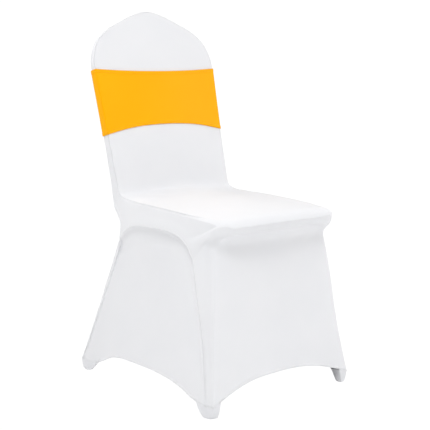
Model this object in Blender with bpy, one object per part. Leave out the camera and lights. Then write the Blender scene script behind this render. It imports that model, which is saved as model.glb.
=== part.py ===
"""A stretch chair cover with a sash, hanging as it fits a crown-back banquet chair; the chair is left out.

Millimetres in the tables, metres in the mesh. +Z is up, the chair faces -Y, and the origin is on the floor
under the middle of the cover.
"""

from math import cos, degrees, pi, radians, sin, tan

import bmesh
import bpy
import numpy as np

MM = 0.001

CLOTH = 1.5  # thickness of the knit where it is doubled or seamed, used for every sheet
SEAM_GAP = 0.3  # between two panels along a seam
SASH_GAP = 0.8  # between the cover and the sash

RAKE = radians(14)  # the backrest leans back from upright
BACK_FOOT = (205, 798)  # a point (y, z) on the inside back, level with the top of the sash
SEAM_DEPTH = 4  # the seam runs this far behind the inside back
BACK_THICK_TOP = 18  # the backrest is this thick at the crown
BACK_THICK_SHOULDER = 24  # at the shoulders
BACK_THICK_FOOT = 34  # and at its foot
BACK_ROUND = 12  # radius of its rear corners
EDGE_ROUND = 4  # and of its front ones
SHOULDER = 7  # row of the crown that lies at the shoulders
REAR_DROP = 5  # the rear outline of the crown lies lower than the front one

SIDE_STEPS = 2  # columns from the seam to the rounded corner
CORNER_STEPS = 4  # columns round the corner
HALF_STEPS = 4  # columns from the corner to the middle

POCKET_TOP = 30  # height of the seam between the foot pockets and the panels
HEM_RISE = 39.5  # the hems arch this far above the pockets
LEVEL_BELOW = 200  # from here down the sections turn level, to meet the pockets squarely
HEM_FADE = 330  # the rows of the apron start to follow the hem's arch at this height
HEM_CURVE = 3.2  # power of the arch: 2 is round, more is flatter on top
HEM_PEAK_Y = 40  # the side hem is highest here, nearer the rear leg
FRONT_HEM_HALF = 206  # half the width of the front hem's arch
REAR_HEM_HALF = 176  # and of the rear one's
SIDE_HEM_FRONT = -226  # where the side hem's arch meets the front pocket
SIDE_HEM_REAR = 190  # and the rear one
SIDE_BOW = 9  # the side panels are drawn in this far at their middle

SASH_ROW = 10  # row of the panels that the sash covers, where its shape across is read
SASH_ROWS = 5  # rings of points from edge to edge
SASH_HALF = 194  # half the backrest's width there
SASH_WIDTH = 171  # at the corners of the backrest, from edge to edge
SASH_DIP = 8  # the top edge sags this far at the middle
SASH_RISE = 21  # the bottom edge draws up this far at the middle
SASH_CURVE = 2.5  # power of that rise

POCKET_LEVELS = (29.8, 22, 13, 5, 0)  # heights of the pockets' rings, top to floor
POCKET_STEPS = 3  # columns along each side of a pocket
POCKET_TUCK = 5  # the corner is drawn in this far under the foot
POCKET_RIM_DROP = 4  # the free rim behind the leg is lower than the seam
POCKET_FOLLOW = 0.9  # how far its ends follow the hems up
POCKET_FLARE = 0.8  # power of its widening from the floor up: 1 is straight, less is bowl shaped

PLACES = 1000  # points that agree to this part of a millimetre are one point
ON_SEAM = 1.0  # points this near the pockets' seam lie on it
MITRE_LIMIT = 0.5  # a border's corner is moved no further than 1 / this

WHITE = (0.86, 0.86, 0.87, 1)
AMBER = (0.98, 0.50, 0.01, 1)

# A foot pocket's plan, for the left side: its outer corner, where its lower edge ends along the side (y) and
# the face (x), and the corner that it turns behind the leg, at the seam and on the floor.
POCKETS = (
    # name, facing, corner_x, corner_y, round, side_top, side_floor, face_top, face_floor, in_top, in_floor
    ("front", 1, -238, -280.5, 15, -226, -252, -204, -214, (-203, -237), (-210, -252)),
    ("rear", -1, -210, 280.5, 14, 190, 247, -171, -184, (-178, 232), (-182, 250)),
)

# The crown of the back: half width against height, peak to shoulder, and on down the inside back.
CROWN = (
    # half, z, bow
    (0, 948.5, 0),
    (22, 946.5, 0),
    (57, 936.5, 1),
    (102, 917, 2),
    (142, 899, 3),
    (174, 874, 4),
    (189, 848, 5),
    (196, 826, 5),
    (199, 798, 5),
    (194.5, 714, 5),
    (191, 632, 6),
    (189, 560, 8),
    (187.5, 503, 10),
)

# The front panel below the inside back: its edge line over the seat, the nose and down the apron, and the
# seam that it ends at on each side. half is half the width at that line, and tilt the way the row faces:
# 0 is level, 90 straight up. round and depth are the corner's size across and in, and bow the middle's rise.
FRONT = (
    # y, z, half, tilt, round, depth, bow, seam_y, seam_z, seam_half
    (121.5, 482, 187.5, 30, 6, 5, 14, 137, 486, 187.5),
    (106, 475.5, 188, 62, 7, 6, 14, 138.5, 469, 188),
    (88, 472.5, 189, 78, 9, 9, 12, 140.5, 452.5, 189),
    (70, 471, 190.5, 84, 11, 11, 10, 120.5, 431, 192),
    (54, 470, 192, 87, 10, 10, 9, 108.5, 405, 196),
    (38, 469, 194, 88, 10, 10, 9, 104.5, 376, 199),
    (20, 468.5, 194.5, 88, 9, 9, 9, 92, 388.5, 200),
    (-2, 468, 195.5, 88, 9, 9, 9, 67, 404.5, 200.5),
    (-35, 466.5, 196.5, 88, 9, 9, 9, 33, 412.5, 201),
    (-75, 464.5, 197, 88, 9, 9, 9, -10, 414.5, 201),
    (-115, 462, 197, 88, 9, 9, 8, -50, 415, 201),
    (-155, 459.5, 196.5, 88, 10, 9, 7, -85, 414, 201),
    (-190, 457.5, 195.5, 87, 14, 10, 6, -108, 410.5, 201),
    (-228, 455.8, 193.5, 76, 22, 12, 5, -126, 404.5, 201),
    (-258.5, 454.4, 191.5, 42, 31, 24, 3, -139, 397, 200.5),
    (-267, 451, 194, 30, 37, 30, 2, -147, 391.5, 200.5),
    (-269.5, 443.5, 198, 18, 42, 33, 2, -154, 386, 200.5),
    (-268.5, 422, 200.5, 2, 44, 35, 1, -161, 377.5, 200.5),
    (-257, 406, 200, 0, 37, 34, 0, -169, 367, 200),
    (-237, 391, 197, 0, 27, 27, -2, -176, 354.5, 200),
    (-239, 362, 200.5, 0, 26, 26, -5, -183, 337, 202),
    (-244, 322, 205, 0, 25, 25, -8, -192, 310, 206),
    (-251, 262, 211.5, 0, 23, 23, -11, -208, 262, 212),
    (-258.5, 188, 219, 0, 21, 21, -12, -230, 188, 219.5),
    (-269, 110, 227, 0, 18, 18, -10, -246, 110, 228),
    (-280.5, POCKET_TOP, 238, 0, 15, 15, -5, -261, POCKET_TOP, 237.5),
)

# The back panel where the backrest ends and the cloth turns in to the waist, a row for each of the front
# panel's first rows, which give the width and the seam.
REAR_TURN = (
    # y, z, tilt, round, depth, bow
    (163, 482, 14, 12, 12, 3),
    (157, 464, 18, 11, 11, 1),
    (150, 446, 35, 9, 9, -1),
    (129, 425, 35, 8, 8, -3),
    (119, 402, 12, 9, 9, -5),
    (116, 377, -6, 10, 10, -7),
)

# The back panel from the waist down the rear legs.
REAR_LEG = (
    # y, z, half, tilt, round, depth, bow, seam_y, seam_z, seam_half
    (126, 350, 200.5, -22, 11, 11, -9, 112.5, 347, 200.5),
    (148, 302, 202, -26, 12, 12, -11, 133, 298, 202),
    (185, 226, 203.5, -26, 13, 13, -12, 169, 222, 203.5),
    (220, 152, 206, -20, 14, 14, -11, 204, 149, 206),
    (250, 90, 208, -10, 14, 14, -8, 234, 88, 208),
    (280.5, POCKET_TOP, 210, 0, 14, 14, -4, 263.5, POCKET_TOP, 210),
)


def smooth(rows, steps):
    """The rows of a table, resampled with `steps` rows to each of its own along curves that never overshoot."""
    rows = np.array(rows, float)
    across = np.sqrt(((rows[1:, :3] - rows[:-1, :3]) ** 2).sum(1))
    at = np.concatenate([[0], np.cumsum(across)])
    slope = np.diff(rows, axis=0) / across[:, None]
    tangent = np.zeros_like(rows)
    tangent[0], tangent[-1] = slope[0], slope[-1]
    before, after = slope[:-1], slope[1:]
    same_way = before * after > 0
    total = np.where(same_way, before + after, 1.0)
    tangent[1:-1] = np.where(same_way, 2 * before * after / total, 0.0)
    made = []
    for i in range(len(rows) - 1):
        for k in range(steps[i]):
            t = k / steps[i]
            step = at[i + 1] - at[i]
            made.append(
                (2 * t**3 - 3 * t**2 + 1) * rows[i]
                + (t**3 - 2 * t**2 + t) * step * tangent[i]
                + (3 * t**2 - 2 * t**3) * rows[i + 1]
                + (t**3 - t**2) * step * tangent[i + 1]
            )
    made.append(rows[-1])
    return np.array(made)


def crown_rows():
    """Rows of the inside back: the crown's outline laid on the raked plane, with the seam just behind it."""
    rows = []
    for half, z, bow in CROWN:
        y = BACK_FOOT[0] + (z - BACK_FOOT[1]) * tan(RAKE)
        seam_y = y + SEAM_DEPTH * cos(RAKE)
        seam_z = z - SEAM_DEPTH * sin(RAKE)
        rows.append((y, z, half, degrees(RAKE), EDGE_ROUND, SEAM_DEPTH, bow, seam_y, seam_z, half))
    return rows


def section(row, along, facing):
    """One row of points from the left seam to the right: up the side, round the corner and across the face."""
    y, z, half, tilt, across, depth, bow, seam_y, seam_z, seam_half = row
    step = np.array([-along[2], along[0], along[1]])
    step = step / np.linalg.norm(step)
    out = facing * np.array([0.0, -cos(radians(tilt)), sin(radians(tilt))])
    inward = facing * np.cross(out, step)
    inward = inward / np.linalg.norm(inward)
    edge = np.array([-half, y, z])
    seam = np.array([-seam_half, seam_y, seam_z])
    low = edge - out * depth
    points = [seam + (low - seam) * k / SIDE_STEPS for k in range(SIDE_STEPS)]
    for k in range(CORNER_STEPS):
        turn = pi / 2 * k / CORNER_STEPS
        points.append(edge + inward * across * (1 - cos(turn)) - out * depth * (1 - sin(turn)))
    rim = edge + inward * across
    for k in range(HALF_STEPS + 1):
        share = k / HALF_STEPS
        rise = bow * (1 - (1 - share) ** 2) ** 2
        points.append(np.array([rim[0] * (1 - share), rim[1], rim[2]]) + out * rise)
    left = np.array(points)
    right = left[-2::-1] * (-1, 1, 1)
    return np.concatenate([left, right])


def panel_grid(rows, facing):
    """A panel's outer surface as a grid of points, a section for each row."""
    along = np.gradient(rows[:, :3], axis=0)
    along[0, :2] = 0.0
    level = np.clip((rows[:, 1] - POCKET_TOP) / (LEVEL_BELOW - POCKET_TOP), 0, 1)
    along[:, 0] *= level
    along[:, 2] *= level
    return np.array([section(r, a, facing) for r, a in zip(rows, along)])


def lift_hem(grid, hem_half):
    """Arch the lower rows of a grid up into the hem, sliding them along the panel's own slope."""
    edge_z = grid[:, 0, 2].copy()
    slopes = np.gradient(grid[:, 0, 1]) / np.gradient(edge_z)
    for i in range(len(grid)):
        depth = max(0.0, (HEM_FADE - edge_z[i]) / (HEM_FADE - POCKET_TOP))
        for j in range(grid.shape[1]):
            across = min(1.0, abs(grid[i, j, 0]) / hem_half)
            rise = HEM_RISE * depth**2 * (1 - across**HEM_CURVE)
            if rise > 0:
                grid[i, j] += (0, slopes[i] * rise, rise)
    return grid


def side_grid(arch, front_leg, rear_leg, hem):
    """The left side panel: spanned between its four edges, and drawn in a little between them."""
    across, down = len(arch), len(rear_leg)
    grid = np.zeros((down, across, 3))
    for i in range(down):
        t = i / (down - 1)
        for j in range(across):
            s = j / (across - 1)
            spanned = (1 - t) * arch[j] + t * hem[j] + (1 - s) * rear_leg[i] + s * front_leg[i]
            corners = (1 - s) * ((1 - t) * arch[0] + t * hem[0]) + s * ((1 - t) * arch[-1] + t * hem[-1])
            grid[i, j] = spanned - corners + (SIDE_BOW * 16 * s * (1 - s) * t * (1 - t), 0, 0)
    return grid


def side_hem(arch, front_foot, rear_foot):
    """Points of the side panel's lower edge: along the rear pocket, up over the hem's arch, along the front one."""
    share = np.linspace(0, 1, len(arch))
    y = rear_foot[1] + (front_foot[1] - rear_foot[1]) * share
    x = rear_foot[0] + (front_foot[0] - rear_foot[0]) * share
    reach = np.where(y > HEM_PEAK_Y, SIDE_HEM_REAR - HEM_PEAK_Y, HEM_PEAK_Y - SIDE_HEM_FRONT)
    across = np.minimum(1.0, abs(y - HEM_PEAK_Y) / reach)
    return np.stack([x, y, POCKET_TOP + HEM_RISE * (1 - across**HEM_CURVE)], axis=1)


def grid_faces(down, across, turned, closed=False):
    """Quads of a grid of down by across points, numbered row by row."""
    faces = []
    for i in range(down - 1):
        for j in range(across if closed else across - 1):
            right = (j + 1) % across
            quad = [i * across + j, (i + 1) * across + j, (i + 1) * across + right, i * across + right]
            faces.append(quad[::-1] if turned else quad)
    return faces


def place_key(point):
    return tuple(int(round(c * PLACES)) for c in point)


def welded(points, faces):
    """Points and faces with points that share a place made one, and faces that lose their area dropped."""
    index = {}
    number = []
    kept = []
    for point in points:
        key = place_key(point)
        if key not in index:
            index[key] = len(kept)
            kept.append(point)
        number.append(index[key])
    made = []
    for face in faces:
        corners = []
        for corner in (number[c] for c in face):
            if corner not in corners:
                corners.append(corner)
        if len(corners) > 2:
            made.append(corners)
    return np.array(kept), made


def face_normal(points, face):
    a, b, c = points[face[0]], points[face[1]], points[face[2]]
    d = points[face[-1]]
    return np.cross(c - a, d - b) if len(face) > 3 else np.cross(b - a, c - a)


def shell_normals(panels):
    """For each place on the shell of panels, the summed normal of the faces that meet there."""
    total = {}
    for points, faces in panels:
        for face in faces:
            normal = face_normal(points, face)
            for corner in face:
                key = place_key(points[corner])
                total[key] = total.get(key, 0) + normal
    return total


def normals_at(shell, points):
    """Unit normals at these points, level along the seam between the panels and the foot pockets."""
    summed = np.array([shell[place_key(point)] for point in points])
    summed[abs(points[:, 2] - POCKET_TOP) < ON_SEAM, 2] = 0.0
    return summed / np.linalg.norm(summed, axis=1)[:, None]


def border(faces):
    """The edges of faces that lie on the border, each in its face's direction."""
    edges = {}
    for face in faces:
        for a, b in zip(face, face[1:] + face[:1]):
            edges[(a, b)] = face
    return [(a, b) for a, b in edges if (b, a) not in edges]


def sheet(points, faces, normals):
    """A closed sheet of cloth, its outer face given, held half a seam's gap in from its border."""
    points = points.copy()
    rim = border(faces)
    pull = {}
    for a, b in rim:
        inward = np.cross(normals[a] + normals[b], points[b] - points[a])
        inward = inward / np.linalg.norm(inward)
        for corner in (a, b):
            pull.setdefault(corner, []).append(inward)
    for corner, ways in pull.items():
        way = sum(ways)
        way = way / np.linalg.norm(way)
        points[corner] += way * SEAM_GAP / 2 / max(MITRE_LIMIT, way @ ways[0])
    count = len(points)
    inner = points - normals * CLOTH
    walls = [[b, a, a + count, b + count] for a, b in rim]
    back = [[corner + count for corner in face[::-1]] for face in faces]
    return np.concatenate([points, inner]), faces + back + walls


def cloth_material(name, colour, roughness):
    material = bpy.data.materials.new(name)
    material.use_nodes = True
    shader = material.node_tree.nodes["Principled BSDF"]
    shader.inputs["Base Color"].default_value = colour
    shader.inputs["Roughness"].default_value = roughness
    shader.inputs["Metallic"].default_value = 0.0
    return material


def add_object(name, points, faces, material):
    """A mesh object of these points, in millimetres, with its quads cut into triangles."""
    mesh = bpy.data.meshes.new(name)
    mesh.from_pydata([tuple(float(c) * MM for c in point) for point in points], [], faces)
    shaped = bmesh.new()
    shaped.from_mesh(mesh)
    bmesh.ops.triangulate(shaped, faces=shaped.faces, quad_method="SHORT_EDGE")
    shaped.to_mesh(mesh)
    shaped.free()
    mesh.shade_smooth()
    mesh.materials.append(material)
    item = bpy.data.objects.new(name, mesh)
    bpy.context.scene.collection.objects.link(item)
    return item


def mirrored(grid):
    return grid * (-1, 1, 1)


def sash_loops(front, rear, front_normals, rear_normals):
    """The sash: rings of points round the backrest, from its top edge to its bottom edge, and their normals."""
    loops = np.concatenate([front, rear[:, -2:0:-1]], axis=1)
    ways = np.concatenate([front_normals, rear_normals[:, -2:0:-1]], axis=1)
    height = (loops[:, :, 1] - BACK_FOOT[0]) * sin(RAKE) + (loops[:, :, 2] - BACK_FOOT[1]) * cos(RAKE)
    rings = []
    for k in range(SASH_ROWS):
        share = k / (SASH_ROWS - 1)
        ring = []
        for j in range(loops.shape[1]):
            across = min(1.0, abs(loops[SASH_ROW, j, 0]) / SASH_HALF)
            top = -SASH_DIP * (1 - across**2)
            bottom = -SASH_WIDTH + SASH_RISE * (1 - across**SASH_CURVE)
            at = top + (bottom - top) * share
            known = -height[:, j]
            place = [np.interp(-at, known, loops[:, j, axis]) for axis in range(3)]
            way = [np.interp(-at, known, ways[:, j, axis]) for axis in range(3)]
            ring.append((place, way))
        rings.append(ring)
    rings = np.array(rings)
    normals = rings[:, :, 1] / np.linalg.norm(rings[:, :, 1], axis=2)[:, :, None]
    return rings[:, :, 0] + normals * SASH_GAP, normals


def pocket_ring(pocket, height, side_edge, face_edge):
    """One ring of a pocket's outer surface: along the side, round the corner, along the face and behind the leg.

    Its ends rise with the panels' lower edges, which side_edge and face_edge give as places and heights.
    """
    _, facing, corner_x, corner_y, turn, side_top, side_floor, face_top, face_floor, in_top, in_floor = pocket
    share = (height / POCKET_TOP) ** POCKET_FLARE
    tuck = POCKET_TUCK * (1 - share) ** 2
    corner = np.array([corner_x + tuck, corner_y + facing * tuck])
    side = np.array([corner[0], side_floor + (side_top - side_floor) * share])
    face = np.array([face_floor + (face_top - face_floor) * share, corner[1]])
    inner = np.array(in_floor) + (np.array(in_top) - np.array(in_floor)) * share
    start = corner + (0, facing * turn)
    end = corner + (turn, 0)
    centre = corner + (turn, facing * turn)
    follow = POCKET_FOLLOW * share**2
    side_rise = (np.interp(side_top, *side_edge) - POCKET_TOP) * follow
    face_rise = (np.interp(face_top, *face_edge) - POCKET_TOP) * follow
    plan = []
    for k in range(POCKET_STEPS):
        t = k / POCKET_STEPS
        rise = (np.interp(side_top + (start[1] - side_top) * t, *side_edge) - POCKET_TOP) * follow
        plan.append((*(side + (start - side) * t), height + rise))
    for k in range(POCKET_STEPS):
        angle = pi / 2 * k / POCKET_STEPS
        plan.append((*(centre - turn * np.array([cos(angle), facing * sin(angle)])), height))
    for k in range(POCKET_STEPS):
        t = k / POCKET_STEPS
        rise = (np.interp(end[0] + (face_top - end[0]) * t, *face_edge) - POCKET_TOP) * follow
        plan.append((*(end + (face - end) * t), height + rise))
    for k in range(POCKET_STEPS):
        t = k / POCKET_STEPS
        behind = (1 - t) ** 2 * face + 2 * t * (1 - t) * inner + t**2 * side
        rise = (1 - t) * face_rise + t * side_rise - POCKET_RIM_DROP * share * sin(pi * t)
        plan.append((*behind, height + rise))
    return np.array(plan)


def add_pocket(pocket, side_name, mirror, material, side_edge, face_edge):
    """A sock for one chair foot, closed underneath and open at the top."""
    rings = [pocket_ring(pocket, height, side_edge, face_edge) for height in POCKET_LEVELS]
    rings.append(np.repeat(rings[-1].mean(axis=0)[None], len(rings[-1]), axis=0))
    grid = np.array(rings)
    turned = pocket[1] < 0
    if mirror:
        grid = mirrored(grid)
        turned = not turned
    across = grid.shape[1]
    faces = grid_faces(len(grid), across, turned, closed=True)
    points, faces = welded(grid.reshape(-1, 3), faces)
    normals = normals_at(shell_normals([(points, faces)]), points)
    add_object(f"foot_pocket_{pocket[0]}_{side_name}", *sheet(points, faces, normals), material)


for old in list(bpy.data.objects):
    bpy.data.objects.remove(old, do_unlink=True)

knit = cloth_material("white_stretch_knit", WHITE, 0.8)
sash_knit = cloth_material("amber_stretch_knit", AMBER, 0.65)

crown = crown_rows()
to_waist = [1] * (len(crown) - 1 + len(REAR_TURN))
over_arch = [1] * 12
down_leg = [1] * 4 + [2] * 4
front_table = crown + list(FRONT)
front_rows = smooth(front_table, to_waist + over_arch + down_leg)
waist = sum(to_waist)
arch_end = waist + sum(over_arch)
back_end = sum(to_waist[: len(crown) - 1])

rear_rows = front_rows[: waist + 1].copy()
peak_z, shoulder_z, foot_z = (CROWN[row][1] for row in (0, SHOULDER, -1))
rear_rows[:, 0] += np.interp(
    -rear_rows[:, 1], (-peak_z, -shoulder_z, -foot_z), (BACK_THICK_TOP, BACK_THICK_SHOULDER, BACK_THICK_FOOT)
)
rear_rows[:, 1] -= np.interp(-rear_rows[:, 1], (-shoulder_z, -foot_z), (REAR_DROP, 0))
rear_rows[:, 4:6] = BACK_ROUND
rear_rows[back_end + 1 :, [0, 1, 3, 4, 5, 6]] = REAR_TURN
leg_rows = smooth([tuple(rear_rows[-1]), *REAR_LEG], [2] * len(REAR_LEG))
rear_rows = np.concatenate([rear_rows, leg_rows[1:]])

front = lift_hem(panel_grid(front_rows, 1), FRONT_HEM_HALF)
rear = lift_hem(panel_grid(rear_rows, -1), REAR_HEM_HALF)
arch = front[waist : arch_end + 1, 0]
front_leg = front[arch_end:, 0]
rear_leg = rear[waist:, 0]
hem = side_hem(arch, front_leg[-1], rear_leg[-1])
left = side_grid(arch, front_leg, rear_leg, hem)

panels = {}
for name, grid, turned in (
    ("front_panel", front, False),
    ("back_panel", rear, True),
    ("side_panel_left", left, False),
    ("side_panel_right", mirrored(left), True),
):
    faces = grid_faces(grid.shape[0], grid.shape[1], turned)
    panels[name] = welded(grid.reshape(-1, 3), faces)

shell = shell_normals(panels.values())
for name, (points, faces) in panels.items():
    add_object(name, *sheet(points, faces, normals_at(shell, points)), knit)

back_front = front[: back_end + 1]
back_rear = rear[: back_end + 1]
front_ways = normals_at(shell, back_front.reshape(-1, 3)).reshape(back_front.shape)
rear_ways = normals_at(shell, back_rear.reshape(-1, 3)).reshape(back_rear.shape)
rings, ways = sash_loops(back_front, back_rear, front_ways, rear_ways)
band = grid_faces(len(rings), rings.shape[1], False, closed=True)
inner_points = rings.reshape(-1, 3)
outer_points = inner_points + ways.reshape(-1, 3) * CLOTH
inner_band = [[corner + len(outer_points) for corner in face[::-1]] for face in band]
hems = [[b, a, a + len(outer_points), b + len(outer_points)] for a, b in border(band)]
add_object("sash", np.concatenate([outer_points, inner_points]), band + inner_band + hems, sash_knit)

side_edge = hem[::-1, 1:].T
for pocket, panel in zip(POCKETS, (front, rear)):
    face_edge = panel[-1, SIDE_STEPS + CORNER_STEPS :, [0, 2]]
    add_pocket(pocket, "left", False, knit, side_edge, face_edge)
    add_pocket(pocket, "right", True, knit, side_edge, face_edge)
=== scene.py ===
"""A stretch chair cover with a wide sash, pulled tight as it fits a crown-back banquet chair."""

from math import cos, degrees, pi, radians, sin, tan

import bmesh
import bpy
import numpy as np
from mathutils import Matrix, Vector
from mathutils.bvhtree import BVHTree
from mathutils.kdtree import KDTree


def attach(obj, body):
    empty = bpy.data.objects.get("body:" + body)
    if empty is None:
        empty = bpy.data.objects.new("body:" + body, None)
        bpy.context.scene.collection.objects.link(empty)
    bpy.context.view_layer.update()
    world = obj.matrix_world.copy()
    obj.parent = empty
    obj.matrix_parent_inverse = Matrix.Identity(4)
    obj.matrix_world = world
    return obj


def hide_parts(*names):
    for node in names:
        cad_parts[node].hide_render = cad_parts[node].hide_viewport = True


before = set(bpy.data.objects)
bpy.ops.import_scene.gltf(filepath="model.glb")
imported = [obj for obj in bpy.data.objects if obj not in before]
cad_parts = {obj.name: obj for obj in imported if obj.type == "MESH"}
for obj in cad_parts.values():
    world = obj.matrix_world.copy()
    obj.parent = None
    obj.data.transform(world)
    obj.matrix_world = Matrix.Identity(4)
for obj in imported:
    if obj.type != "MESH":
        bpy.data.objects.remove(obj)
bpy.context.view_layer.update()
MM = 0.001

# ---------------------------------------------------------------------------------------------------------
# The camera: it stands off the front left corner, level with the top of the sash, and looks slightly down
# through a long lens.
# ---------------------------------------------------------------------------------------------------------
CAMERA_AT = (-1.811, -2.0585, 0.807)
CAMERA_TURN = radians(-41.75)
CAMERA_PITCH = radians(90 - 7.92)

lens = bpy.data.cameras.new("camera")
lens.sensor_width = 36
lens.lens = 90
camera = bpy.data.objects.new("camera", lens)
camera.location = CAMERA_AT
camera.rotation_euler = (CAMERA_PITCH, 0, CAMERA_TURN)
bpy.context.scene.collection.objects.link(camera)
bpy.context.scene.camera = camera

# ---------------------------------------------------------------------------------------------------------
# The studio: a white sweep lit until it is paper white, a glowing ceiling, and five soft boxes: in front,
# high on the left, on the right, and two behind.
# ---------------------------------------------------------------------------------------------------------
FLOOR_HALF = 12.0
FLOOR_DROP = 0.0006
FLOOR_GLOW = 0.08  # what the sweep gives back to the cover, besides the light it scatters
ZENITH_GLOW = 0.95  # the white ceiling, straight up
PAPER_WHITE = 1.05  # the sweep and the backdrop as they are seen, too bright to keep a shadow


def linear(hex_colour):
    """An sRGB hex colour, such as "#F4F4F2", as linear RGBA."""
    parts = [int(hex_colour[k : k + 2], 16) / 255 for k in (1, 3, 5)]
    return (*(p / 12.92 if p <= 0.04045 else ((p + 0.055) / 1.055) ** 2.4 for p in parts), 1.0)


def add_node(material, kind, settings=None, inputs=None, links=None):
    """A node in the material's tree, with its settings, its input values and links into its inputs."""
    node = material.node_tree.nodes.new(kind)
    for key, value in (settings or {}).items():
        setattr(node, key, value)
    for key, value in (inputs or {}).items():
        node.inputs[key].default_value = value
    for key, output in (links or {}).items():
        material.node_tree.links.new(output, node.inputs[key])
    return node


def new_material(name):
    """An empty material and the socket that its surface goes to."""
    material = bpy.data.materials.new(name)
    material.use_nodes = True
    material.node_tree.nodes.clear()
    return material, add_node(material, "ShaderNodeOutputMaterial").inputs["Surface"]


def light(name, at, aim, size, power):
    lamp = bpy.data.lights.new(name, "AREA")
    lamp.shape = "RECTANGLE"
    lamp.size, lamp.size_y = size
    lamp.energy = power
    holder = bpy.data.objects.new(name, lamp)
    holder.location = at
    holder.rotation_euler = (Vector(aim) - Vector(at)).to_track_quat("-Z", "Y").to_euler()
    bpy.context.scene.collection.objects.link(holder)


# White seamless paper: matt, and bright enough to lose the shadow under the cover.
paper, paper_surface = new_material("seamless_paper")
seen = add_node(paper, "ShaderNodeLightPath").outputs["Is Camera Ray"]
matt = add_node(
    paper,
    "ShaderNodeBsdfPrincipled",
    inputs={
        "Base Color": linear("#F2F2F2"),
        "Roughness": 0.9,
        "Emission Color": linear("#FFFFFF"),
        "Emission Strength": FLOOR_GLOW,
    },
)
bright = add_node(paper, "ShaderNodeEmission", inputs={"Color": linear("#FFFFFF"), "Strength": PAPER_WHITE})
lit = add_node(paper, "ShaderNodeMixShader", links={0: seen, 1: matt.outputs[0], 2: bright.outputs[0]})
paper.node_tree.links.new(lit.outputs[0], paper_surface)

floor_mesh = bpy.data.meshes.new("floor")
corners = [(x * FLOOR_HALF, y * FLOOR_HALF, -FLOOR_DROP) for x, y in ((-1, -1), (1, -1), (1, 1), (-1, 1))]
floor_mesh.from_pydata(corners, [], [(0, 1, 2, 3)])
floor_mesh.materials.append(paper)
floor = bpy.data.objects.new("floor", floor_mesh)
bpy.context.scene.collection.objects.link(floor)

# The room: a ceiling that glows most straight overhead and not at all at the level of the chair, with a
# paper-white backdrop behind it.
world = bpy.data.worlds.new("studio")
world.use_nodes = True
world.node_tree.nodes.clear()
way = add_node(world, "ShaderNodeTexCoord")
parts = add_node(world, "ShaderNodeSeparateXYZ", links={"Vector": way.outputs["Generated"]})
glow = parts.outputs["Z"]
for operation, by in (("MAXIMUM", 0.0), ("POWER", 2.0), ("MULTIPLY", ZENITH_GLOW)):
    step = add_node(world, "ShaderNodeMath", {"operation": operation}, inputs={1: by}, links={0: glow})
    glow = step.outputs[0]
white = linear("#FFFFFF")
sky = add_node(world, "ShaderNodeBackground", inputs={"Color": white}, links={"Strength": glow})
backdrop = add_node(world, "ShaderNodeBackground", inputs={"Color": white, "Strength": PAPER_WHITE})
seen = add_node(world, "ShaderNodeLightPath").outputs["Is Camera Ray"]
room = add_node(world, "ShaderNodeMixShader", links={0: seen, 1: sky.outputs[0], 2: backdrop.outputs[0]})
add_node(world, "ShaderNodeOutputWorld", links={"Surface": room.outputs[0]})
bpy.context.scene.world = world
bpy.context.scene.view_settings.view_transform = "Standard"

# Each box's name, its place, what it faces, its width and height in metres, and its power in watts.
light("front_box", (1.2, -3.0, 1.2), (0, 0, 0.5), (1.8, 1.6), 28)
light("high_left_box", (-1.8, -1.2, 2.6), (0, 0, 0.5), (1.2, 1.2), 44)
light("right_box", (3.0, -0.5, 1.4), (0, 0, 0.5), (1.6, 1.6), 29)
light("over_rear_box", (0, 1.2, 2.6), (0, 0, 0.5), (2.0, 1.5), 16)
light("rear_left_box", (-2.4, 2.0, 1.6), (0, 0, 0.5), (1.6, 1.6), 22)

# ---------------------------------------------------------------------------------------------------------
# The cover's four panels: a front cloth that runs from the crown down the inside back, over the seat and
# down the apron, a back cloth, and a cloth under each arch. They are cut from polyester and elastane warp
# knit and stretched smooth between the sewn seams.
# ---------------------------------------------------------------------------------------------------------
RAKE = radians(14)  # the backrest leans back from upright
BACK_FOOT = (205, 798)  # a point (y, z) on the inside back, level with the top of the sash
SEAM_DEPTH = 4  # the seam runs this far behind the inside back
BACK_THICKNESS = ((-948.5, -826, -503), (18, 24, 34))  # against height, crown to seat
REAR_DROP = ((-826, -503), (5, 0))  # the rear outline of the crown lies lower than the front one
BACK_ROUND = 12  # radius of the backrest's rear corners
EDGE_ROUND = 4  # and of its front ones

SIDE_STEPS = 2  # columns from the seam to the rounded corner
CORNER_STEPS = 4  # columns round the corner
HALF_STEPS = 3  # columns from the corner to the middle

POCKET_TOP = 30  # height of the seam between the foot pockets and the panels
HEM_RISE = 39.5  # the hems arch this far above the pockets
LEVEL_BELOW = 200  # from here down the sections turn level, to meet the pockets squarely
HEM_FADE = 330  # the rows of the apron start to follow the hem's arch at this height
HEM_CURVE = 3.2  # power of the arch: 2 is round, more is flatter on top
HEM_PEAK_Y = 40  # the side hem is highest here, nearer the rear leg
FRONT_HEM_HALF = 206
REAR_HEM_HALF = 176
SIDE_HEM_ENDS = (-226, 190)  # where the side hem's arch meets the front pocket and the rear one (y)
SIDE_BOW = 9  # the side panels are drawn in this far at their middle

SUBDIVISIONS = 3
PLACES = 1000  # points are one if they share a place to a thousandth of a millimetre
CLOTH = 1.0  # thickness of the knit
SEAM_GAP = 0.2  # between two panels along a seam

CROWN = (
    # half, z, bow
    (0, 948.5, 0),
    (22, 946.5, 0),
    (57, 936.5, 1),
    (102, 917, 2),
    (142, 899, 3),
    (174, 874, 4),
    (189, 848, 5),
    (196, 826, 5),
    (199, 798, 5),
    (194.5, 714, 5),
    (191, 632, 6),
    (189, 560, 8),
    (187.5, 503, 10),
)

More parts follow.
